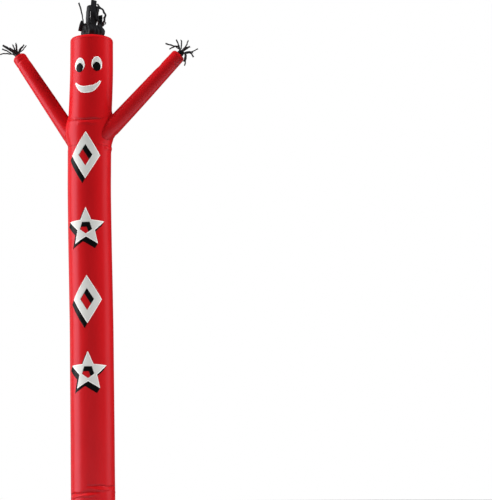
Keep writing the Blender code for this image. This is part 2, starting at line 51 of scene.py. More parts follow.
tube_foot = Vector((-0.043, -0.018, 0.0))
camera_turn = math.radians(10.5)
camera_away = 17.5
camera_height = 0.5
camera_yaw = math.radians(5.282)
camera_pitch = math.radians(7.422)
camera_roll = math.radians(-0.688)

heading = Vector((-math.sin(camera_turn), math.cos(camera_turn), 0.0))
ahead = Matrix.Rotation(-camera_yaw, 3, 'Z') @ heading
level = ahead.cross(Vector((0.0, 0.0, 1.0)))
sight = ahead * math.cos(camera_pitch) + Vector((0.0, 0.0, math.sin(camera_pitch)))
upright = level.cross(sight)
across = level * math.cos(camera_roll) + upright * math.sin(camera_roll)
above = upright * math.cos(camera_roll) - level * math.sin(camera_roll)

camera = bpy.data.objects.new("camera", bpy.data.cameras.new("camera"))
camera.data.sensor_width = 36.0
camera.data.lens = 120.1
camera.data.clip_end = 200.0
camera.matrix_world = Matrix((across, above, -sight)).transposed().to_4x4()
camera.location = tube_foot - heading * camera_away + Vector((0.0, 0.0, camera_height))
bpy.context.collection.objects.link(camera)
bpy.context.scene.camera = camera
bpy.context.scene.view_settings.view_transform = 'Standard'

# ---- body tube: red ripstop nylon ----
# Three tubes of light nylon cloth sewn end to end and closed by a lap seam down the back. The
# fan's air rounds them out, so only the seams, the neck and the foot still show folds.


def linear(hex_colour):
    """An sRGB hex colour as the linear values that a shader takes."""
    channels = [int(hex_colour[i:i + 2], 16) / 255.0 for i in (1, 3, 5)]
    curve = [c / 12.92 if c <= 0.04045 else ((c + 0.055) / 1.055) ** 2.4 for c in channels]
    return (*curve, 1.0)


def add(tree, kind, **given):
    """A node with its settings. A lower-case name is a property, I0 an input by number."""
    node = tree.nodes.new("ShaderNode" + kind)
    for name, value in given.items():
        if name.islower():
            setattr(node, name, value)
            continue
        socket = node.inputs[int(name[1:]) if name[1:].isdigit() else name.replace("_", " ")]
        if isinstance(value, bpy.types.NodeSocket):
            tree.links.new(value, socket)
        else:
            socket.default_value = value
    return node


def woven_cloth(name, light_hex, dark_hex, roughness, gloss, pucker, glint_hex="#FFFFFF"):
    """Plain-woven nylon with the thicker threads of a ripstop grid; UVs are in metres."""
    material = bpy.data.materials.new(name)
    material.use_nodes = True
    tree = material.node_tree
    shader = tree.nodes["Principled BSDF"]
    cut = add(tree, "UVMap", uv_map="cut").outputs["UV"]
    # the dye takes a little unevenly, in patches about a third of a metre across
    patches = add(tree, "TexNoise", Vector=cut, Scale=3.0, Detail=0.0)
    dyed = add(tree, "Mix", data_type='RGBA', Factor=patches.outputs["Fac"],
               I6=linear(dark_hex), I7=linear(light_hex))
    tree.links.new(dyed.outputs[2], shader.inputs["Base Color"])
    # the satin finish is rubbed a little duller where the cloth was folded away
    rubbed = add(tree, "TexNoise", Vector=cut, Scale=2.0, Detail=0.0)
    dull = add(tree, "MapRange", I0=rubbed.outputs["Fac"], I1=0.30, I2=0.70,
               I3=roughness - 0.02, I4=roughness + 0.02)
    tree.links.new(dull.outputs[0], shader.inputs["Roughness"])
    # a ripstop grid of doubled threads every 6 mm, which shows only from near, and slack
    # between the seams in waves of 220 mm
    grid = add(tree, "TexBrick", offset=0.0, Vector=cut, Scale=1.0, Brick_Width=0.006,
               Row_Height=0.006, Mortar_Size=0.0006, Mortar_Smooth=0.6)
    slack = add(tree, "TexNoise", Vector=cut, Scale=4.5, Detail=0.0)
    ridges = add(tree, "Bump", Strength=0.10, Distance=0.00012, Height=grid.outputs["Fac"])
    puckers = add(tree, "Bump", Strength=1.0, Distance=pucker, Height=slack.outputs["Fac"],
                  Normal=ridges.outputs["Normal"])
    tree.links.new(puckers.outputs["Normal"], shader.inputs["Normal"])
    shader.inputs["IOR"].default_value = 1.53
    shader.inputs["Specular IOR Level"].default_value = gloss
    shader.inputs["Specular Tint"].default_value = linear(glint_hex)
    return material


# Polyamide 6.6 ripstop with a calendered satin face: saturated red with broad soft glints, to
# which the dye gives a slight pink.
red_ripstop = woven_cloth("red_ripstop_nylon", "#C4141A", "#BA1216", 0.32, 0.6, 0.0009,
                          glint_hex="#FFE6FF")

TUBE_RADIUS = 0.2285
TUBE_LINE = np.array((
    # height, lean of the centre line, radius
    (0.00, 0.000, 0.2285),
    (0.20, 0.000, 0.2285),
    (0.54, -0.004, 0.2285),
    (1.29, -0.009, 0.2285),
    (1.91, -0.015, 0.2285),
    (2.80, -0.031, 0.2285),
    (3.44, -0.041, 0.2285),
    (3.88, -0.039, 0.2300),
    (4.10, -0.034, 0.2320),
    (4.28, -0.028, 0.2285),
    (4.68, -0.015, 0.2285),
    (5.10, -0.015, 0.2270),
))
SHOULDER_SEAM = 3.88
NECK_SEAM = 4.14
RIM_START = 5.035
RIM_ROUNDING = 0.035
# the arms pull the shoulders out sideways, and lift the neck seam at either side
SHOULDER_PULL = 0.030
PULL_HEIGHT = 4.04
PULL_REACH = 0.17
LIFT_RIGHT = 0.105
LIFT_LEFT = 0.045
LIFT_BELOW = 0.12
LIFT_ABOVE = 0.30
# a felled seam: the rise of its folded cloth, and the gathers beside it
LAP_RISE = 0.0007
LAP_HALF_WIDTH = 0.0085
LAP_EDGE = 0.002
GATHER_DEPTH = 0.0009
GATHER_REACH = 0.022

# Creases and puffs run between two places; a puff has a negative depth.
TUBE_FOLDS = (
    # from angle, height; to angle, height; half width; depth; sharp
    (-34.0, 4.152, 44.0, 4.144, 0.026, 0.0120, True),
    (-26.0, 4.116, 36.0, 4.112, 0.030, -0.0045, False),
    (-78.0, 4.128, -34.0, 4.164, 0.018, 0.0080, True),
    (-60.0, 4.112, -34.0, 4.140, 0.014, -0.0035, False),
    (112.0, 4.160, 215.0, 4.156, 0.036, 0.0110, True),
    (120.0, 4.116, 210.0, 4.114, 0.034, -0.0060, False),
    (-84.0, 0.236, 30.0, 0.276, 0.022, 0.0150, True),
    (-66.0, 0.212, 18.0, 0.244, 0.020, -0.0080, False),
    (-6.0, 0.334, 96.0, 0.316, 0.020, 0.0130, True),
    (12.0, 0.288, 62.0, 0.292, 0.018, -0.0075, False),
    (60.0, 0.280, 100.0, 0.262, 0.020, -0.0050, False),
    (120.0, 0.300, 190.0, 0.270, 0.022, 0.0080, True),
    (205.0, 0.262, 262.0, 0.305, 0.022, 0.0075, True),
    (130.0, 0.276, 180.0, 0.250, 0.020, -0.0050, False),
    (40.0, 3.904, 70.0, 3.892, 0.016, 0.0045, True),
    (56.0, 3.860, 104.0, 3.866, 0.036, -0.0100, False),
    (-104.0, 3.880, -62.0, 3.878, 0.040, 0.0040, False),
)


def soft(distance, reach):
    """1 at no distance, falling smoothly to 0 at the reach."""
    return 0.5 + 0.5 * np.cos(np.pi * np.clip(np.abs(distance) / reach, 0.0, 1.0))


def along_tube(height, column):
    """The tube's line at a height, its table's corners rounded over 0.2 m."""
    spread = np.linspace(-0.10, 0.10, 7)
    values = [np.interp(height + d, TUBE_LINE[:, 0], TUBE_LINE[:, column]) for d in spread]
    return np.mean(values, axis=0)


def fold_depth(angle, height, folds, girth_radius):
    """How far a table's folds draw in a cloth of this radius; its puffs push it out."""
    depth = np.zeros(np.broadcast(angle, height).shape)
    for angle_a, height_a, angle_b, height_b, half_width, deep, sharp in folds:
        run = np.array((math.radians(angle_b - angle_a) * girth_radius, height_b - height_a))
        turn = (angle - (angle_a + angle_b) / 2.0 + 180.0) % 360.0 - 180.0
        u = np.radians(turn) * girth_radius + run[0] / 2.0
        # a fold wanders 4 mm off its straight line, and dies out at its ends
        wander = 0.004 * np.sin(u * 31.0 + height_a * 57.0)
        v = height - height_a + wander
        part = np.clip((u * run[0] + v * run[1]) / (run @ run), 0.0, 1.0)
        away = np.hypot(u - part * run[0], v - part * run[1]) / half_width
        ends = np.sqrt(np.clip(part * (1.0 - part) * 5.0, 0.0, 1.0))
        shape = np.clip(1.0 - away, 0.0, 1.0) ** 2 if sharp else soft(away, 1.0)
        depth = depth + deep * ends * shape
    return depth


def neck_climb(angle, height):
    """How far the neck seam, and the cloth near it, is lifted over the arms."""
    reach = np.where(height < NECK_SEAM, LIFT_BELOW, LIFT_ABOVE)
    side = np.sin(np.radians(angle))
    lift = np.where(side > 0.0, LIFT_RIGHT, LIFT_LEFT)
    return lift * side ** 4 * soft(height - NECK_SEAM, reach)


def lap_rise(distance):
    """The extra cloth of a felled seam, at a distance from its middle."""
    return LAP_RISE * np.clip((LAP_HALF_WIDTH - np.abs(distance)) / LAP_EDGE, 0.0, 1.0)


def seam_pucker(angle, distance, phase):
    """Small gathers where the thread draws the cloth up beside a seam."""
    turn = np.radians(angle)
    waves = np.sin(29.0 * turn + phase) * np.sin(11.0 * turn + 2.0 * phase)
    return GATHER_DEPTH * waves * np.exp(-np.abs(distance) / GATHER_REACH)


def on_tube(angle, height, out=0.0):
    """Points on the blown-up cloth's face, moved out; angle and height may be arrays."""
    angle, height = np.broadcast_arrays(np.asarray(angle, float), np.asarray(height, float))
    turn = np.radians(angle)
    radius = along_tube(height, 2) + out
    radius = radius + SHOULDER_PULL * np.sin(turn) ** 4 * soft(height - PULL_HEIGHT, PULL_REACH)
    radius = radius - fold_depth(angle, height, TUBE_FOLDS, TUBE_RADIUS)
    # the cloth is a millimetre out of round, in three slow waves that turn with the height
    radius = radius + 0.0010 * np.sin(3.0 * turn + 1.1 + 2.3 * height) * np.sin(1.9 * height)
    for seam, phase in ((SHOULDER_SEAM, 0.7), (NECK_SEAM, 2.1)):
        radius = radius + seam_pucker(angle, height - seam, phase) + 0.5 * lap_rise(height - seam)
    radius = radius + 0.9 * lap_rise(np.radians((angle % 360.0) - 180.0) * TUBE_RADIUS)
    return np.stack((tube_foot.x + along_tube(height, 1) + radius * np.sin(turn),
                     tube_foot.y - radius * np.cos(turn),
                     height + neck_climb(angle, height)), axis=-1)


CLOTH_THICKNESS = 0.0012


def new_piece(name, mesh, material, thickness=0.0):
    """The mesh as an object of one material, made thicker on its inner side."""
    mesh.materials.append(material)
    piece = bpy.data.objects.new(name, mesh)
    bpy.context.collection.objects.link(piece)
    if thickness:
        layer = piece.modifiers.new("cloth", 'SOLIDIFY')
        layer.thickness = thickness
        layer.offset = -1.0
    return piece


def ring_face(row, column, count):
    """The face over a point of a ring, among rings of as many points."""
    after = (column + 1) % count
    return (row * count + column, row * count + after,
            (row + 1) * count + after, (row + 1) * count + column)


def cut_corners(left, right, low, high):
    """A face's corners on the flat cut, from its lower left one."""
    return [(left, low), (right, low), (right, high), (left, high)]


def cloth_grid(name, points, widths, lengths, material, thickness=CLOTH_THICKNESS, skip=None):
    """A round sheet from rings of points, with the flat cut's sizes as its UVs."""
    rows, columns = points.shape[:2]
    faces = []
    corners = []
    for r in range(rows - 1):
        for c in range(columns):
            if skip is not None and skip[r, c]:
                continue
            faces.append(ring_face(r, c, columns))
            corners += cut_corners(widths[c], widths[c + 1], lengths[r], lengths[r + 1])
    mesh = bpy.data.meshes.new(name)
    mesh.from_pydata(points.reshape(-1, 3).tolist(), [], faces)
    mesh.uv_layers.new(name="cut").data.foreach_set("uv", np.array(corners).ravel())
    if skip is not None:
        loose = bmesh.new()
        loose.from_mesh(mesh)
        bmesh.ops.delete(loose, geom=[v for v in loose.verts if not v.link_faces])
        loose.to_mesh(mesh)
        loose.free()
    mesh.shade_smooth()
    return new_piece(name, mesh, material, thickness)


def rides(piece, slot, *nodes):
    """Fixes a piece to the one body and hides the nodes that it stands for. Its finish's slot is
    not used.
    """
    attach(piece, "root")
    if nodes:
        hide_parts(*nodes)


def plain_finish(name, colour_hex, roughness):
    """An even, matt to silky finish, for thread and paint."""
    material = bpy.data.materials.new(name)
    material.use_nodes = True
    shader = material.node_tree.nodes["Principled BSDF"]
    shader.inputs["Base Color"].default_value = linear(colour_hex)
    shader.inputs["Roughness"].default_value = roughness
    return material


# Bonded polyester thread in the cloth's red, a touch darker and less shiny than the nylon.
red_thread = plain_finish("red_polyester_thread", "#A01216", 0.55)

# A real stitch is 3 mm long and 0.4 mm thick. It is drawn longer and thicker, so that it shows.
STITCH_HALF_WIDTH = 0.0008
STITCH_CROWN = 0.0009
STITCH_ENDS = 0.0003
STITCH_DEPTH = 0.0006
STITCH_LIFT = 0.0002


def stitch_run(name, starts, ends, outs):
    """Short raised stitches from each start to its end, their ends sunk into the cloth."""
    verts = []
    faces = []
    for start, end, out in zip(starts, ends, outs):
        start, end, out = Vector(start), Vector(end), Vector(out)
        side = (end - start).cross(out).normalized() * STITCH_HALF_WIDTH
        base = len(verts)
        for place, rise in ((start, STITCH_ENDS), (start.lerp(end, 0.5), STITCH_CROWN),
                            (end, STITCH_ENDS)):
            verts += [place + side + out * rise, place - side + out * rise]
        under = len(verts)
        sunk = out * STITCH_DEPTH
        verts += [start + side - sunk, start - side - sunk, end + side - sunk, end - side - sunk]
        faces += [(base, base + 1, base + 3, base + 2), (base + 2, base + 3, base + 5, base + 4),
                  (under, under + 1, base + 1, base), (base + 4, base + 5, under + 3, under + 2),
                  (base, base + 2, base + 4, under + 2, under),
                  (under + 1, under + 3, base + 5, base + 3, base + 1),
                  (under + 2, under + 3, under + 1, under)]
    mesh = bpy.data.meshes.new(name)
    mesh.from_pydata([tuple(v) for v in verts], [], faces)
    piece = new_piece(name, mesh, red_thread)
    rides(piece, "red_ripstop_nylon")
    return piece


around = np.arange(0.0, 360.0, 2.5)


def tube_stitches(name, heights):
    """Rows of stitches round the tube, 7 mm long and 10 mm apart."""
    starts = [on_tube(around, h, STITCH_LIFT) for h in heights]
    ends = [on_tube(around + 1.75, h, STITCH_LIFT) for h in heights]
    turns = np.radians(np.tile(around, len(heights)))
    outs = np.stack((np.sin(turns), -np.cos(turns), 0.0 * turns), axis=-1)
    return stitch_run(name, np.concatenate(starts), np.concatenate(ends), outs)


def back_stitches(name, low, high):
    """Two rows of stitches up the lap seam at the back, 8 mm long and 12 mm apart."""
    heights = np.arange(low, high, 0.012)
    starts = [on_tube(a, heights, STITCH_LIFT) for a in (178.9, 181.1)]
    ends = [on_tube(a, heights + 0.008, STITCH_LIFT) for a in (178.9, 181.1)]
    outs = np.tile((0.0, 1.0, 0.0), (2 * len(heights), 1))
    return stitch_run(name, np.concatenate(starts), np.concatenate(ends), outs)


# a seam's lap needs lines of its own: at the back beside the even ones, and beside the rows
back_seam = np.array((177.85, 178.4, 181.6, 182.15))
tube_angles = np.sort(np.concatenate((around, back_seam)))
tube_widths = np.radians(np.append(tube_angles, 360.0)) * TUBE_RADIUS
seam_steps = np.array((0.004, 0.0065, 0.0085, 0.012, 0.017))


def stretch(start, end, step):
    """Even heights from start to end, about a step apart."""
    return np.linspace(start, end, max(2, int(round((end - start) / step)) + 1))


def rows_of(*runs):
    """The heights of several runs in order, none twice."""
    return np.unique(np.round(np.concatenate(runs), 5))


body_rows = rows_of(stretch(0.0, 0.045, 0.0075), stretch(0.045, 0.18, 0.02),
                    stretch(0.18, 0.36, 0.005), stretch(0.36, 3.74, 0.035),
                    stretch(3.74, 3.86, 0.008), SHOULDER_SEAM - seam_steps, [SHOULDER_SEAM])
body = cloth_grid("body_cloth", on_tube(tube_angles[None, :], body_rows[:, None]),
                  tube_widths, body_rows, red_ripstop)
rides(body, "red_ripstop_nylon", "body_tube")
body_thread = [tube_stitches("body_stitches", (0.022, 0.030, SHOULDER_SEAM - 0.004)),
               back_stitches("body_back_stitches", 0.005, SHOULDER_SEAM - 0.010)]

# ---- arms: two tapered sleeves of the same red nylon ----
# Each is cut wide at the root and sewn into the shoulders' hole, with its own lap seam at the
# back. Its outer end is drawn in round the cuff of black strips and puffs out.

ARMS = {
    # root and tip beside the tube's axis, and how far the middle bows up
    "right": dict(root=Vector((-0.028, -0.042, 3.846)), tip=Vector((0.949, -0.078, 4.855)),
                  bow=-0.006),
    "left": dict(root=Vector((-0.027, 0.035, 3.690)), tip=Vector((-0.851, 0.147, 4.952)),
                 bow=0.006),
}
ARM_GIRTH = np.array((
    # part of the length, half width, half height
    (0.05, 0.128, 0.0885),
    (0.14, 0.127, 0.0890),
    (0.23, 0.118, 0.0895),
    (0.30, 0.103, 0.0895),
    (0.38, 0.093, 0.0890),
    (0.55, 0.087, 0.0860),
    (0.78, 0.081, 0.0800),
    (0.97, 0.075, 0.0750),
))
ARM_RADIUS = 0.085
ARM_END = 0.97
END_SHARE = 0.1
END_LENGTH = 0.036
CUFF_RADIUS = 0.036
UP = np.array((0.0, 0.0, 1.0))

# Folds on the arms; the angle goes from the front, under the right arm and over the left one.
ARM_FOLDS = {
    "right": (
        # from angle, distance; to angle, distance; half width; depth; sharp
        (60.0, 0.330, 150.0, 0.300, 0.030, 0.0070, True),
        (-120.0, 1.130, -40.0, 1.180, 0.050, 0.0050, False),
        (20.0, 1.290, 90.0, 1.255, 0.022, 0.0040, True),
        (-80.0, 1.300, -20.0, 1.270, 0.022, 0.0035, True),
    ),
    "left": (
        (-150.0, 0.420, -70.0, 0.380, 0.030, 0.0060, True),
        (-40.0, 1.400, 40.0, 1.425, 0.024, 0.0045, True),
        (-110.0, 1.395, -60.0, 1.370, 0.022, 0.0055, True),
        (60.0, 1.390, 120.0, 1.400, 0.024, 0.0040, True),
    ),
}


def arm_lines(side):
    """The arm's middle line: start, direction, length and its two cross directions."""
    arm = ARMS[side]
    start = tube_foot + arm["root"]
    run = arm["tip"] - arm["root"]
    along = run.normalized()
    front = Vector((along.y, -along.x, 0.0)).normalized()
    if front.y > 0.0:
        front.negate()
    return (np.array(start), np.array(along), run.length, np.array(front),
            np.array(along.cross(front)))


def along_arm(part, column):
    """An arm's half width or half height at a part of its length, its table's corners rounded."""
    spread = np.linspace(-0.03, 0.03, 5)
    values = [np.interp(part + d, ARM_GIRTH[:, 0], ARM_GIRTH[:, column]) for d in spread]
    return np.mean(values, axis=0)


def on_arm(side, angle, part, out=0.0):
    """Points on an arm's face; a part over ARM_END goes round the puffed end to the cuff."""
    angle, part = np.broadcast_arrays(np.asarray(angle, float), np.asarray(part, float))
    start, along, length, front, second = arm_lines(side)
    turn = np.radians(angle)
    straight = np.minimum(part, ARM_END)
    rounding = np.clip((part - ARM_END) / END_SHARE, 0.0, 1.0) * np.pi / 2.0
    end = np.cos(rounding)
    mouth_radius = CUFF_RADIUS + 0.0008
    wide = mouth_radius + (along_arm(straight, 1) - mouth_radius) * end
    high = mouth_radius + (along_arm(straight, 2) - mouth_radius) * end
    distance = straight * length
    deep = fold_depth(angle, distance, ARM_FOLDS[side], 0.080) * end
    gathers = 0.0022 * np.sin(14.0 * turn + 0.6 * np.sin(3.0 * turn)) * np.sin(rounding)
    lap = lap_rise(np.radians((angle % 360.0) - 180.0) * wide)
    grow = out - deep + gathers + lap
    middle = (start + along * (distance + END_LENGTH * np.sin(rounding))[..., None]
              + UP * (ARMS[side]["bow"] * np.sin(np.pi * straight))[..., None])
    return (middle + front * ((wide + grow) * np.cos(turn))[..., None]
            + second * ((high + grow) * np.sin(turn))[..., None])


def outside_tube(points):
    """How far points are outside the shoulders' cloth."""
    lean = along_tube(points[..., 2], 1)
    x = points[..., 0] - tube_foot.x - lean
    y = points[..., 1] - tube_foot.y
    angle = np.degrees(np.arctan2(x, -y))
    height = points[..., 2]
    # the height before the neck's climb, found by closing in on it
    for _ in range(4):
        height = points[..., 2] - neck_climb(angle, height)
    wall = on_tube(angle, height)
    return np.hypot(x, y) - np.hypot(wall[..., 0] - tube_foot.x - lean, wall[..., 1] - tube_foot.y)


def arm_start(side, angle):
    """The part of the arm's length where each of its lines leaves the shoulders' cloth.

    Each line is halved, from well inside the tube to well outside it, until it is found.
    """
    low = np.full(angle.shape, 0.06)
    high = np.full(angle.shape, 0.55)
    for _ in range(26):
        middle = (low + high) / 2.0
        inside = outside_tube(on_arm(side, angle, middle)) < 0.0003
        low = np.where(inside, middle, low)
        high = np.where(inside, high, middle)
    return high


arm_angles = np.sort(np.concatenate((np.arange(0.0, 360.0, 4.0), (174.2, 175.8, 184.2, 185.8))))
arm_shares = np.concatenate(((0.0, 0.004, 0.008, 0.012, 0.02, 0.03), np.linspace(0.04, 0.24, 21),
                             np.linspace(0.26, 0.86, 21), np.linspace(0.87, 1.0, 21)))
end_parts = ARM_END + END_SHARE * np.linspace(0.1, 1.0, 10)
arm_widths = np.radians(np.append(arm_angles, 360.0)) * ARM_RADIUS
# the turned-in edge at an arm's root stands up, and then falls away within 3 mm
ROOT_EDGE = 0.010
ROOT_EDGE_FALL = 0.003
ROOT_EDGE_RISE = 0.0012
arm_pieces = {}
for side in ("left", "right"):
    length = arm_lines(side)[2]
    begins = arm_start(side, arm_angles)
    parts = begins + (ARM_END - begins) * arm_shares[:, None]
    parts = np.concatenate((parts, np.repeat(end_parts[:, None], len(arm_angles), axis=1)))
    seam_away = (parts - begins) * length
    edge = np.clip((ROOT_EDGE - seam_away) / ROOT_EDGE_FALL, 0.0, 1.0) * ROOT_EDGE_RISE
    arm_pieces[side] = cloth_grid("arm_cloth_" + side, on_arm(side, arm_angles, parts, edge),
                                  arm_widths, parts.mean(axis=1) * length, red_ripstop)
    rides(arm_pieces[side], "red_ripstop_nylon", "arm_" + side)
    # one ring of stitches goes round the root's edge and one round the drawn-in end
    starts, ends, outs = [], [], []
    for ring_parts, lift in ((begins + 0.006 / length, ROOT_EDGE_RISE + STITCH_LIFT),
                             (np.full(len(arm_angles), ARM_END + 0.004), STITCH_LIFT)):
        ring = on_arm(side, arm_angles, ring_parts, lift)
        starts.append(ring)
        ends.append(ring * 0.3 + np.roll(ring, -1, axis=0) * 0.7)
        outs.append(on_arm(side, arm_angles, ring_parts, lift + 1.0) - ring)
    thread = stitch_run("arm_stitches_" + side, np.concatenate(starts), np.concatenate(ends),
                        np.concatenate(outs))

# ---- shoulders and head: the same red nylon ----
# The shoulders' tube has a round hole under each arm. The head's tube is lapped into it at the
# neck, where the cloth is drawn in, and its top edge curves in to a flat-sewn disc.

SEAM_LAP = np.array((-0.009, -0.0004))
LAP_INSET = -0.0018
# the cloth runs on a little way inside an arm, to this share of the arm's girth
HOLE_SHARE = 0.86


def tucked(rows):
    """A tube's rows of points, with a 9 mm edge lapped inside the tube below."""
    lap = [on_tube(tube_angles, rows[0] + down, LAP_INSET) for down in SEAM_LAP]
    return np.concatenate((lap, on_tube(tube_angles, rows[:, None])))


shoulder_rows = rows_of([SHOULDER_SEAM], SHOULDER_SEAM + seam_steps, stretch(3.90, 4.12, 0.008),
                        NECK_SEAM - seam_steps, [NECK_SEAM])
shoulder_points = tucked(shoulder_rows)


def in_hole(side, points):
    """Which points of the shoulders' cloth lie well inside an arm's root."""
    start, along, length, front, second = arm_lines(side)
    away = points - start
    part = (away @ along) / length
    wide = (away @ front) / along_arm(part, 1)
    high = (away @ second) / along_arm(part, 2)
    return (np.hypot(wide, high) < HOLE_SHARE) & (part > 0.05)


middles = (shoulder_points[:-1] + shoulder_points[1:]
           + np.roll(shoulder_points[:-1], -1, axis=1)
           + np.roll(shoulder_points[1:], -1, axis=1)) / 4.0
holes = in_hole("left", middles) | in_hole("right", middles)
shoulder_lengths = np.concatenate((SHOULDER_SEAM + SEAM_LAP, shoulder_rows))
shoulders = cloth_grid("shoulder_cloth", shoulder_points, tube_widths, shoulder_lengths,
                       red_ripstop, skip=holes)
rides(shoulders, "red_ripstop_nylon", "shoulder_tube")
shoulder_thread = [tube_stitches("shoulder_stitches", (SHOULDER_SEAM + 0.004, NECK_SEAM - 0.004)),
                   back_stitches("shoulder_back_stitches", SHOULDER_SEAM + 0.006,
                                 NECK_SEAM - 0.010)]

head_rows = rows_of([NECK_SEAM], NECK_SEAM + seam_steps, stretch(4.16, 4.26, 0.006),
                    stretch(4.26, 4.98, 0.030), stretch(4.98, RIM_START, 0.011))


def on_rim(turn, out=0.0):
    """Rings round the head's rim: 0 degrees is the upright wall and 90 the level top."""
    turn = np.radians(np.asarray(turn, float))
    wall = on_tube(tube_angles, RIM_START, out)
    inward = np.stack((-np.sin(np.radians(tube_angles)), np.cos(np.radians(tube_angles)),
                       np.zeros(len(tube_angles))), axis=-1)
    inset = (RIM_ROUNDING + out) * (1.0 - np.cos(turn))
    lift = (RIM_ROUNDING + out) * np.sin(turn)
    return wall[None] + UP * lift[:, None, None] + inward[None] * inset[:, None, None]


rim_steps = np.array((6.0, 12.0, 18.0, 24.0, 30.0, 36.0, 41.0, 44.0, 47.7))
head_points = np.concatenate((tucked(head_rows), on_rim(rim_steps)))
head_lengths = np.concatenate((NECK_SEAM + SEAM_LAP, head_rows,
                               RIM_START + np.radians(rim_steps) * RIM_ROUNDING))
head = cloth_grid("head_cloth", head_points, tube_widths, head_lengths, red_ripstop)
rides(head, "red_ripstop_nylon", "head_tube")
head_thread = [tube_stitches("head_stitches", (NECK_SEAM + 0.004, RIM_START - 0.005)),
               back_stitches("head_back_stitches", NECK_SEAM + 0.010, RIM_START - 0.010)]

# the hair's vent, whose edge stands a little over the rim
VENT_RADIUS = 0.118
CROWN = 5.076
head_lean = float(along_tube(RIM_START + RIM_ROUNDING, 1))
# the disc's edge starts under the head tube's edge, comes out over it and runs level
DISC_EDGE = ((40.0, -0.0016), (44.0, -0.0016), (48.3, 0.0), (52.0, 0.0009), (58.0, 0.0),
             (66.0, 0.0), (74.0, 0.0), (82.0, 0.0), (90.0, 0.0))
top_rings = [on_rim([turn], out)[0] for turn, out in DISC_EDGE]
rim_edge = top_rings[-1]
vent_edge = np.stack((tube_foot.x + head_lean + VENT_RADIUS * np.sin(np.radians(tube_angles)),
                      tube_foot.y - VENT_RADIUS * np.cos(np.radians(tube_angles)),
                      np.full(len(tube_angles), CROWN)), axis=-1)
for share in np.linspace(0.08, 1.0, 13):
    gather = 0.0022 * share ** 2 * np.sin(np.radians(tube_angles) * 18.0)
    ring = rim_edge * (1.0 - share) + vent_edge * share
    ring[:, 2] += gather + 0.004 * np.sin(np.pi * share)
    top_rings.append(ring)
top_points = np.array(top_rings)
top_lengths = np.linspace(0.0, 0.14, len(top_points))
top = cloth_grid("head_top_cloth", top_points, tube_widths, top_lengths, red_ripstop)
rides(top, "red_ripstop_nylon", "head_top")

# ---- hair: a black satin sleeve slit into strips ----
# A sleeve of shinier black ripstop comes up through the vent and is slit into strips that the
# escaping air throws about. Its cut edges are raw, and some strips bend back over themselves.

# Black polyamide satin: deep black in the folds, with grey glints where the floats line up.
black_satin = woven_cloth("black_satin_ripstop", "#2B2B2E", "#161618", 0.38, 0.5, 0.0015)


def strip_grid(origin, start, across_start, strip, steps, columns, waist):
    """Rows of points up a strip, from its root to its tip, curled across its width.

    Its tip, and the point that pulls its middle, are given from the origin. Beside the sleeve
    it has only its waist's share of its width.
    """
    tip, pull = Vector(strip[0:3]), Vector(strip[3:6])
    turn, width, curl, crinkle = strip[6:10]
    end, middle = origin + tip, origin + pull
    before = start
    heading_now = (middle - start).normalized()
    across_now = across_start.normalized()
    rows = []
    for step in range(1, steps + 1):
        part = step / steps
        rest = 1.0 - part
        here = start * rest * rest + middle * 2.0 * rest * part + end * part * part
        new_heading = (here - before).normalized()
        across_now = heading_now.rotation_difference(new_heading) @ across_now
        across_now = (across_now - new_heading * across_now.dot(new_heading)).normalized()
        heading_now = new_heading
        before = here
        turned = Quaternion(heading_now, math.radians(turn) * part) @ across_now
        face = heading_now.cross(turned)
        spread = width * (waist + (1.0 - waist) * min(1.0, part * 2.5))
        wave = crinkle * math.sin(part * 17.0 + tip.x * 40.0) * math.sin(part * 7.0 + tip.y * 30.0)
        row = []
        for c in range(columns + 1):
            side = c / columns - 0.5
            bend = curl * spread * (side * side * 4.0 - 0.5)
            edge = crinkle * 0.7 * side * math.sin(part * 31.0 + tip.z * 50.0)
            row.append(here + turned * spread * side + face * (bend + wave + edge))
        rows.append(row)
    return rows


RING_STEP = 0.02
ROW_STEP = 0.015
SLIT_HEIGHT = 0.1


def slit_sleeve(name, rings, origin, strips, steps, columns, waist):
    """A round sleeve whose upper edge is slit into strips, as one sheet of black satin."""
    points = [tuple(p) for ring in rings for p in ring]
    count = len(rings[0])
    girth_step = (Vector(rings[0][1]) - Vector(rings[0][0])).length
    faces = []
    corners = []
    for r in range(len(rings) - 1):
        for c in range(count):
            faces.append(ring_face(r, c, count))
            corners += cut_corners(c * girth_step, (c + 1) * girth_step,
                                   r * RING_STEP, (r + 1) * RING_STEP)
    last = (len(rings) - 1) * count
    for number, strip in enumerate(strips):
        roots = [last + (number * columns + c) % count for c in range(columns + 1)]
        places = [Vector(points[i]) for i in roots]
        start = sum(places, Vector()) / len(places)
        previous = roots
        climb = SLIT_HEIGHT
        for row in strip_grid(origin, start, places[-1] - places[0], strip, steps, columns,
                              waist):
            current = list(range(len(points), len(points) + columns + 1))
            points += [tuple(p) for p in row]
            for c in range(columns):
                faces.append((previous[c], previous[c + 1], current[c + 1], current[c]))
                u = number * 0.1 + c * girth_step
                corners += cut_corners(u, u + girth_step, climb, climb + ROW_STEP)
            previous = current
            climb += ROW_STEP
    mesh = bpy.data.meshes.new(name)
    mesh.from_pydata(points, [], faces)
    mesh.uv_layers.new(name="cut").data.foreach_set("uv", np.array(corners).ravel())
    mesh.shade_smooth()
    return new_piece(name, mesh, black_satin, CLOTH_THICKNESS)


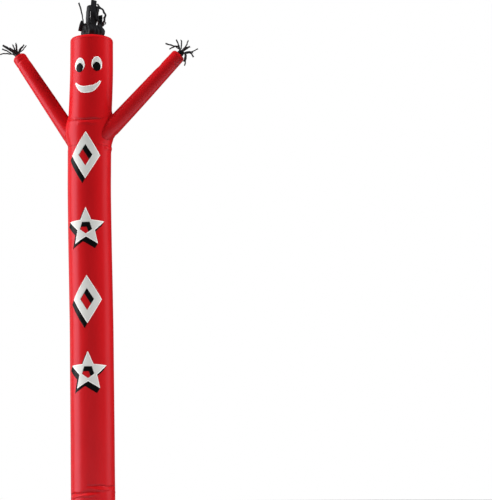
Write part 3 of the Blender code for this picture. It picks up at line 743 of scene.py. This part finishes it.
HAIR_STRIPS = (
    # tip x, y, z; pull x, y, z; turn; width; curl; crinkle
    (0.028, -0.060, 0.278, 0.026, -0.120, 0.120, 0.0, 0.062, 0.06, 0.001),
    (0.092, -0.110, 0.182, 0.066, -0.125, 0.080, 25.0, 0.026, 0.40, 0.007),
    (0.062, -0.050, 0.230, 0.205, -0.070, 0.115, 20.0, 0.048, 0.40, 0.008),
    (0.130, 0.050, 0.060, 0.150, 0.050, 0.060, -10.0, 0.056, 0.20, 0.006),
    (0.062, 0.120, 0.160, 0.075, 0.130, 0.070, 10.0, 0.052, 0.20, 0.004),
    (0.022, 0.080, 0.250, 0.020, 0.125, 0.120, 0.0, 0.064, 0.10, 0.002),
    (-0.022, 0.120, 0.195, -0.030, 0.130, 0.090, 0.0, 0.064, 0.20, 0.004),
    (-0.160, 0.045, 0.284, -0.100, 0.060, 0.080, 40.0, 0.024, 0.50, 0.002),
    (-0.110, -0.095, -0.070, -0.072, -0.125, 0.080, 10.0, 0.056, 0.30, 0.004),
    (-0.022, -0.080, 0.218, -0.036, -0.116, 0.090, -5.0, 0.058, 0.10, 0.002),
)
HAIR_SLEEVE = (
    # height over the crown, radius, depth of the pleats, shift towards +X
    (-0.020, 0.1174, 0.0000, 0.000),
    (0.002, 0.1174, 0.0000, 0.000),
    (0.016, 0.1180, 0.0040, 0.004),
    (0.032, 0.1205, 0.0070, 0.012),
    (0.050, 0.1225, 0.0100, 0.018),
    (0.066, 0.1220, 0.0110, 0.021),
    (0.082, 0.1180, 0.0100, 0.020),
    (0.097, 0.1120, 0.0080, 0.016),
    (0.112, 0.1080, 0.0070, 0.012),
    (0.126, 0.1040, 0.0060, 0.009),
)
HAIR_COLUMNS = 8
hair_count = HAIR_COLUMNS * len(HAIR_STRIPS)
hair_turns = np.arange(hair_count) * math.tau / hair_count
hair_rings = []
for over, radius, pleat, shift in HAIR_SLEEVE:
    pleats = 0.7 * np.cos(5.0 * hair_turns) + 0.5 * np.cos(17.0 * hair_turns + over * 40.0)
    wave = radius + pleat * pleats
    level = CROWN + over + pleat * 0.5 * np.sin(7.0 * hair_turns)
    hair_rings.append(np.stack((tube_foot.x + head_lean + shift + wave * np.sin(hair_turns),
                                tube_foot.y - wave * np.cos(hair_turns), level), axis=-1))
hair_middle = sum((Vector(p) for p in hair_rings[-1]), Vector()) / hair_count
hair = slit_sleeve("hair_cloth", hair_rings, hair_middle, HAIR_STRIPS, steps=24,
                   columns=HAIR_COLUMNS, waist=0.92)
rides(hair, "black_satin_ripstop", "hair")

# ---- hands: cuffs of black satin strips ----
# A narrow cuff of the same black satin is caught in each arm's drawn-in end and slit into
# twelve strips that spread in the air.

HAND_STRIPS = {
    # tip x, y, z; pull x, y, z; turn
    "right": (
        (0.070, -0.120, 0.030, 0.050, -0.060, 0.030, -25.0),
        (0.030, -0.060, -0.120, 0.060, -0.050, 0.000, 40.0),
        (0.030, -0.030, -0.155, 0.070, -0.035, -0.012, -15.0),
        (0.122, 0.000, -0.060, 0.090, 0.000, 0.020, 20.0),
        (0.170, 0.030, 0.040, 0.110, 0.030, -0.005, -35.0),
        (0.110, 0.120, 0.020, 0.070, 0.060, 0.020, 30.0),
        (0.080, 0.130, 0.090, 0.050, 0.060, 0.060, -25.0),
        (0.062, 0.070, 0.145, 0.040, 0.050, 0.060, 40.0),
        (-0.016, 0.060, 0.150, 0.000, 0.050, 0.070, -15.0),
        (-0.062, 0.010, 0.138, -0.020, 0.010, 0.060, 20.0),
        (-0.128, -0.015, 0.030, -0.030, -0.015, 0.095, -35.0),
        (-0.165, -0.060, 0.080, -0.040, -0.060, 0.050, 30.0),
    ),
    "left": (
        (-0.060, -0.120, 0.040, -0.035, -0.060, 0.030, -25.0),
        (0.010, -0.090, 0.100, 0.000, -0.050, 0.060, 40.0),
        (0.070, -0.040, 0.060, 0.030, -0.020, 0.060, -15.0),
        (0.102, 0.010, 0.096, 0.050, 0.010, 0.030, 20.0),
        (0.060, 0.080, 0.120, 0.020, 0.050, 0.060, -35.0),
        (0.030, 0.125, 0.105, 0.010, 0.070, 0.055, 30.0),
        (-0.030, 0.100, 0.140, -0.018, 0.060, 0.070, -25.0),
        (-0.070, 0.080, 0.130, -0.040, 0.050, 0.070, 40.0),
        (-0.150, 0.030, 0.105, -0.070, 0.025, 0.065, -15.0),
        (-0.165, 0.000, 0.060, -0.090, 0.000, 0.030, 20.0),
        (-0.190, -0.030, -0.005, -0.100, -0.025, 0.010, -35.0),
        (-0.140, -0.080, 0.085, -0.060, -0.050, 0.030, 30.0),
    ),
}
# every strip's width, curl and crinkle
HAND_STRIP_CUT = (0.022, 0.45, 0.003)
CUFF = (
    # distance past the arm's end, radius
    (-0.016, 0.0360),
    (-0.004, 0.0360),
    (0.008, 0.0360),
    (0.019, 0.0345),
    (0.030, 0.0330),
)
cuff_turns = np.arange(48) * math.tau / 48
for side in ("left", "right"):
    start, along, length, front, second = arm_lines(side)
    end = (start + along * (length * ARM_END + END_LENGTH)
           + UP * ARMS[side]["bow"] * math.sin(math.pi * ARM_END))
    cuff_rings = []
    for beyond, radius in CUFF:
        cuff_rings.append([end + along * beyond
                           + radius * (front * math.cos(t) + second * math.sin(t))
                           for t in cuff_turns])
    strips = [strip + HAND_STRIP_CUT for strip in HAND_STRIPS[side]]
    hand = slit_sleeve("hand_cloth_" + side, cuff_rings, Vector(end + along * CUFF[-1][0]),
                       strips, steps=18, columns=4, waist=0.72)
    rides(hand, "black_satin_ripstop", "hand_" + side)

# ---- face and front motifs: appliqué patches ----
# White and black ripstop patches, single layer, laid on the tube and sewn down round their
# edges. A white patch lies over the black one that makes its block shadow.

# The same nylon undyed and optically whitened, and the same dyed black.
white_ripstop = woven_cloth("white_ripstop_nylon", "#D6D7D4", "#CFD0CD", 0.32, 0.4, 0.0007)
black_ripstop = woven_cloth("black_ripstop_nylon", "#101012", "#0B0B0C", 0.32, 0.28, 0.0007)

PATCH_THICKNESS = 0.0008
PATCH_CELL = 0.012


def tube_patch(name, outlines, lift, material):
    """A patch with any cut-outs, cut on a fine grid and laid on the tube's own folds.

    An outline is x round the tube from its front, and z. The flat size and area come with it.
    """
    patch = bmesh.new()
    edges = []
    for outline in outlines:
        verts = [patch.verts.new((x, z, 0.0)) for x, z in outline]
        edges += [patch.edges.new(pair) for pair in zip(verts, verts[1:] + verts[:1])]
    bmesh.ops.triangle_fill(patch, use_beauty=True, edges=edges, normal=(0.0, 0.0, 1.0))
    low = [min(v.co[i] for v in patch.verts) for i in (0, 1)]
    high = [max(v.co[i] for v in patch.verts) for i in (0, 1)]
    for axis, normal in ((0, (1.0, 0.0, 0.0)), (1, (0.0, 1.0, 0.0))):
        first, last = (math.ceil(reach[axis] / PATCH_CELL) for reach in (low, high))
        for step in range(first, last):
            place = [step * PATCH_CELL if i == axis else 0.0 for i in range(3)]
            bmesh.ops.bisect_plane(patch, geom=patch.verts[:] + patch.edges[:] + patch.faces[:],
                                   dist=1e-5, plane_co=place, plane_no=normal)
    bmesh.ops.remove_doubles(patch, verts=patch.verts[:], dist=2e-5)
    bmesh.ops.recalc_face_normals(patch, faces=patch.faces[:])
    if patch.faces[0].normal.z < 0.0:
        bmesh.ops.reverse_faces(patch, faces=patch.faces[:])
    flat = np.array([v.co[:2] for v in patch.verts])
    uv = patch.loops.layers.uv.new("cut")
    for face in patch.faces:
        for loop in face.loops:
            loop[uv].uv = loop.vert.co.xy
    area = sum(face.calc_area() for face in patch.faces)
    placed = on_tube(np.degrees(flat[:, 0] / TUBE_RADIUS), flat[:, 1], lift)
    for vert, place in zip(patch.verts, placed):
        vert.co = place
    mesh = bpy.data.meshes.new(name)
    patch.to_mesh(mesh)
    patch.free()
    mesh.shade_smooth()
    size = [high[i] - low[i] for i in (0, 1)]
    return new_piece(name, mesh, material, PATCH_THICKNESS), size, area


# Glossy trilobal thread, closely zigzagged over the cut edges: brighter than the cloth.
white_thread = plain_finish("white_satin_stitch", "#F8F7F5", 0.45)

# the part of the band's width from the cut edge inwards, and the rise there
BAND_PROFILE = ((-0.06, -0.0010), (0.0, 0.0004), (0.35, 0.0008), (0.7, 0.0007), (1.0, 0.0001))
# a pointed corner's band reaches in by this many widths at most
LONGEST_MITRE = 2.6


def edge_band(name, outline, lift, width):
    """A raised satin-stitched border along the inner side of an anticlockwise outline."""
    corners = [Vector(p) for p in outline]
    mitres = []
    for before, corner, after in zip(corners[-1:] + corners[:-1], corners,
                                     corners[1:] + corners[:1]):
        first = (corner - before).normalized()
        second = (after - corner).normalized()
        inward = Vector((-first.y - second.y, first.x + second.x)).normalized()
        square = max(0.2, inward.dot(Vector((-first.y, first.x))))
        mitres.append(inward * min(LONGEST_MITRE, 1.0 / square))
    flat = []
    for i, corner in enumerate(corners):
        j = (i + 1) % len(corners)
        steps = max(1, int((corners[j] - corner).length / PATCH_CELL))
        for k in range(steps):
            place = corner.lerp(corners[j], k / steps)
            flat.append((place, mitres[i].lerp(mitres[j], k / steps) * width))
    rows = []
    for part, raised in BAND_PROFILE:
        line = np.array([place + inward * part for place, inward in flat])
        rows.append(on_tube(np.degrees(line[:, 0] / TUBE_RADIUS), line[:, 1], lift + raised))
    return cloth_grid(name, np.array(rows), np.arange(len(flat) + 1) * PATCH_CELL,
                      np.arange(len(rows)) * 0.003, white_thread, thickness=0.0)


def sew_on(name, outlines, lift, material, slot, node, border=0.0):
    """A patch that stands for a node, with any stitched border of a width round its edge."""
    piece, size, area = tube_patch(name, outlines, lift, material)
    rides(piece, slot, node)
    bands = []
    if border:
        bands.append(edge_band(name + "_stitched_edge_0", outlines[0], lift, border))
        rides(bands[0], slot)
    return piece


# how far a patch's face stands off the tube: on the tube itself, or on another patch
LOWER = 0.0013
UPPER = 0.0026


def egg(middle_x, middle_z, half_width, half_height, lean, corners=72):
    """An oval, a little fuller below, leaning by some degrees."""
    turn = np.arange(corners) * math.tau / corners
    x = half_width * np.cos(turn) * (1.0 - 0.07 * np.sin(turn))
    z = half_height * np.sin(turn)
    tilt = math.radians(lean)
    return [(middle_x + a * math.cos(tilt) - b * math.sin(tilt),
             middle_z + a * math.sin(tilt) + b * math.cos(tilt)) for a, b in zip(x, z)]


PUPIL_HALF_WIDTH = 0.0425
PUPIL_HALF_HEIGHT = 0.049
EYES = {
    # middle x, z; half width, half height; lean; pupil's middle x, z
    "left": (-0.093, 4.739, 0.060, 0.076, -3.0, -0.093, 4.708),
    "right": (0.098, 4.748, 0.057, 0.076, 3.0, 0.097, 4.716),
}
for side, (x, z, wide, high, lean, pupil_x, pupil_z) in EYES.items():
    eye = sew_on("eye_cloth_" + side, [egg(x, z, wide, high, lean)], LOWER, white_ripstop,
                 "white_ripstop_nylon", "eye_" + side, border=0.009)
    pupil = egg(pupil_x, pupil_z, PUPIL_HALF_WIDTH, PUPIL_HALF_HEIGHT, lean)
    sew_on("pupil_cloth_" + side, [pupil], UPPER, black_ripstop, "black_ripstop_nylon",
           "pupil_" + side)

MOUTH_FULLNESS = 2.6
MOUTH_TILT = 0.008
LIPS = (
    # half width; height of the corners; drop in the middle
    (0.1460, 4.548, 0.1155),
    (0.1314, 4.560, 0.0540),
)
mouth_across = np.linspace(-1.0, 1.0, 41)
mouth_hang = 1.0 - np.abs(mouth_across) ** MOUTH_FULLNESS
lower_lip, upper_lip = (
    list(zip(half_width * mouth_across, height + MOUTH_TILT * mouth_across - drop * mouth_hang))
    for half_width, height, drop in LIPS)
sew_on("mouth_cloth", [lower_lip + upper_lip[::-1]], LOWER, white_ripstop,
       "white_ripstop_nylon", "mouth", border=0.008)

SHADOW_SHIFT = Vector((-0.032, -0.050))


def swept(outline, shift):
    """The outline widened into a block shadow by sliding it along the shift."""
    count = len(outline)
    edges = []
    for i in range(count):
        start = Vector(outline[i])
        step = Vector(outline[(i + 1) % count]) - start
        edges.append((start, step, step.y * shift.x - step.x * shift.y > 0.0))
    result = []
    for i in range(count):
        _, step_in, moved_in = edges[i - 1]
        corner, step_out, moved_out = edges[i]
        if moved_in == moved_out:
            result.append(corner + shift if moved_in else corner)
        elif step_in.cross(step_out) > 0.0:
            result += [corner + shift, corner] if moved_in else [corner, corner + shift]
        else:
            from_in = corner + shift if moved_in else corner
            from_out = corner + shift if moved_out else corner
            reach = (from_out - from_in).cross(step_out) / step_in.cross(step_out)
            result.append(from_in + step_in * reach)
    return [tuple(p) for p in result]


def lozenge(middle_z, half_width, half_height):
    """A lozenge's four corners, anticlockwise from the right one."""
    return [(half_width, middle_z), (0.0, middle_z + half_height),
            (-half_width, middle_z), (0.0, middle_z - half_height)]


def star_corners(middle_z, radii, numbers):
    """Some of a star's ten corners: even numbers are its points and odd ones lie between."""
    turns = [math.pi / 2.0 + math.tau * k / 10.0 for k in numbers]
    return [(radii[k % 2] * math.cos(t), middle_z + radii[k % 2] * math.sin(t))
            for k, t in zip(numbers, turns)]


# each motif's kind and the height of its middle
MOTIFS = (("lozenge", 3.768), ("star", 3.002), ("lozenge", 2.248), ("star", 1.497))
LOZENGE_HALF_WIDTH = 0.158
LOZENGE_HALF_HEIGHT = 0.250
# the opening's share of the lozenge
LOZENGE_OPENING = 0.46
STAR_RADIUS = 0.212
STAR_INNER = STAR_RADIUS * 0.46
STAR_OPENING = STAR_INNER * 0.70
for number, (kind, middle_z) in enumerate(MOTIFS, start=1):
    if kind == "lozenge":
        outline = lozenge(middle_z, LOZENGE_HALF_WIDTH, LOZENGE_HALF_HEIGHT)
        opening = lozenge(middle_z, LOZENGE_HALF_WIDTH * LOZENGE_OPENING,
                          LOZENGE_HALF_HEIGHT * LOZENGE_OPENING)
    else:
        outline = star_corners(middle_z, (STAR_RADIUS, STAR_INNER), range(10))
        opening = star_corners(middle_z, (0.0, STAR_OPENING), range(1, 10, 2))
    shadow_outline = swept(outline, SHADOW_SHIFT)
    shadow_opening = swept(opening[::-1], SHADOW_SHIFT)[::-1]
    shadow = sew_on(f"motif_shadow_cloth_{number}", [shadow_outline, shadow_opening], LOWER,
                    black_ripstop, "black_ripstop_nylon", f"motif_shadow_{number}")
    sew_on(f"motif_cloth_{number}", [outline, opening], UPPER, white_ripstop,
           "white_ripstop_nylon", f"motif_{number}", border=0.006)

# ---- floor, backdrop and lights ----
# A pale studio floor and a white surround. Three tall soft boxes near the dancer draw the glints
# down its sides, and four large lights farther off fill the shade.

# Matt floor paint: pale, with no glints.
floor_paint = plain_finish("matt_white_floor", "#D2D2D1", 0.8)
bpy.ops.mesh.primitive_circle_add(vertices=96, radius=8.5, fill_type='NGON')
floor = bpy.context.object
floor.name = "floor"
floor.data.materials.append(floor_paint)

# Evenly lit paper: pure white behind the dancer, and it throws no light of its own.
surround_paper = bpy.data.materials.new("lit_white_paper")
surround_paper.use_nodes = True
paper = surround_paper.node_tree
paper.nodes.remove(paper.nodes["Principled BSDF"])
glow = add(paper, "Emission", Color=(1.0, 1.0, 1.0, 1.0), Strength=1.0)
paper.links.new(glow.outputs[0], paper.nodes["Material Output"].inputs["Surface"])
bpy.ops.mesh.primitive_uv_sphere_add(segments=48, ring_count=24, radius=70.0)
surround = bpy.context.object
surround.name = "surround"
surround.data.materials.append(surround_paper)
surround_paper.cycles.emission_sampling = 'NONE'
for ray in ("diffuse", "glossy", "transmission", "shadow"):
    setattr(surround, "visible_" + ray, False)
floor.visible_glossy = False

world = bpy.data.worlds.new("studio")
world.use_nodes = True
background = world.node_tree.nodes["Background"]
background.inputs["Color"].default_value = (1.0, 1.0, 1.0, 1.0)
background.inputs["Strength"].default_value = 0.015
bpy.context.scene.world = world


def soft_light(name, azimuth, distance, height, width, tall, power, aim, glints):
    """An area light at an azimuth from the front, towards +X, aimed at the dancer's middle.

    A fill gives no glints. With multiple importance sampling its glints come back as specks.
    """
    turn = math.radians(azimuth)
    place = Vector((distance * math.sin(turn), -distance * math.cos(turn), height))
    lamp = bpy.data.lights.new(name, 'AREA')
    lamp.shape = 'RECTANGLE'
    lamp.size = width
    lamp.size_y = tall
    lamp.energy = power
    lamp.cycles.use_multiple_importance_sampling = glints
    light = bpy.data.objects.new(name, lamp)
    light.location = place
    light.rotation_euler = (Vector((0.0, 0.0, aim)) - place).to_track_quat('-Z', 'Y').to_euler()
    light.visible_camera = False
    light.visible_glossy = glints
    bpy.context.collection.objects.link(light)


LIGHTS = (
    # name; azimuth, distance, height; width, length; watts; height it is aimed at; glints
    ("key_light", -78.0, 5.0, 4.0, 3.6, 10.0, 178.0, 4.0, True),
    ("rim_light", -130.0, 5.0, 4.0, 1.8, 10.0, 24.0, 4.0, True),
    ("edge_light", 101.0, 5.0, 4.0, 2.6, 10.0, 44.0, 4.0, True),
    ("left_fill", -80.0, 14.0, 14.0, 9.0, 9.0, 4950.0, 2.6, False),
    ("right_fill", 82.0, 14.0, 14.0, 9.0, 9.0, 3480.0, 2.6, False),
    ("right_top", 90.0, 12.0, 19.0, 16.0, 16.0, 640.0, 2.6, False),
    ("front_top", 0.0, 12.0, 19.0, 16.0, 16.0, 740.0, 2.6, False),
)
for light in LIGHTS:
    soft_light(*light)
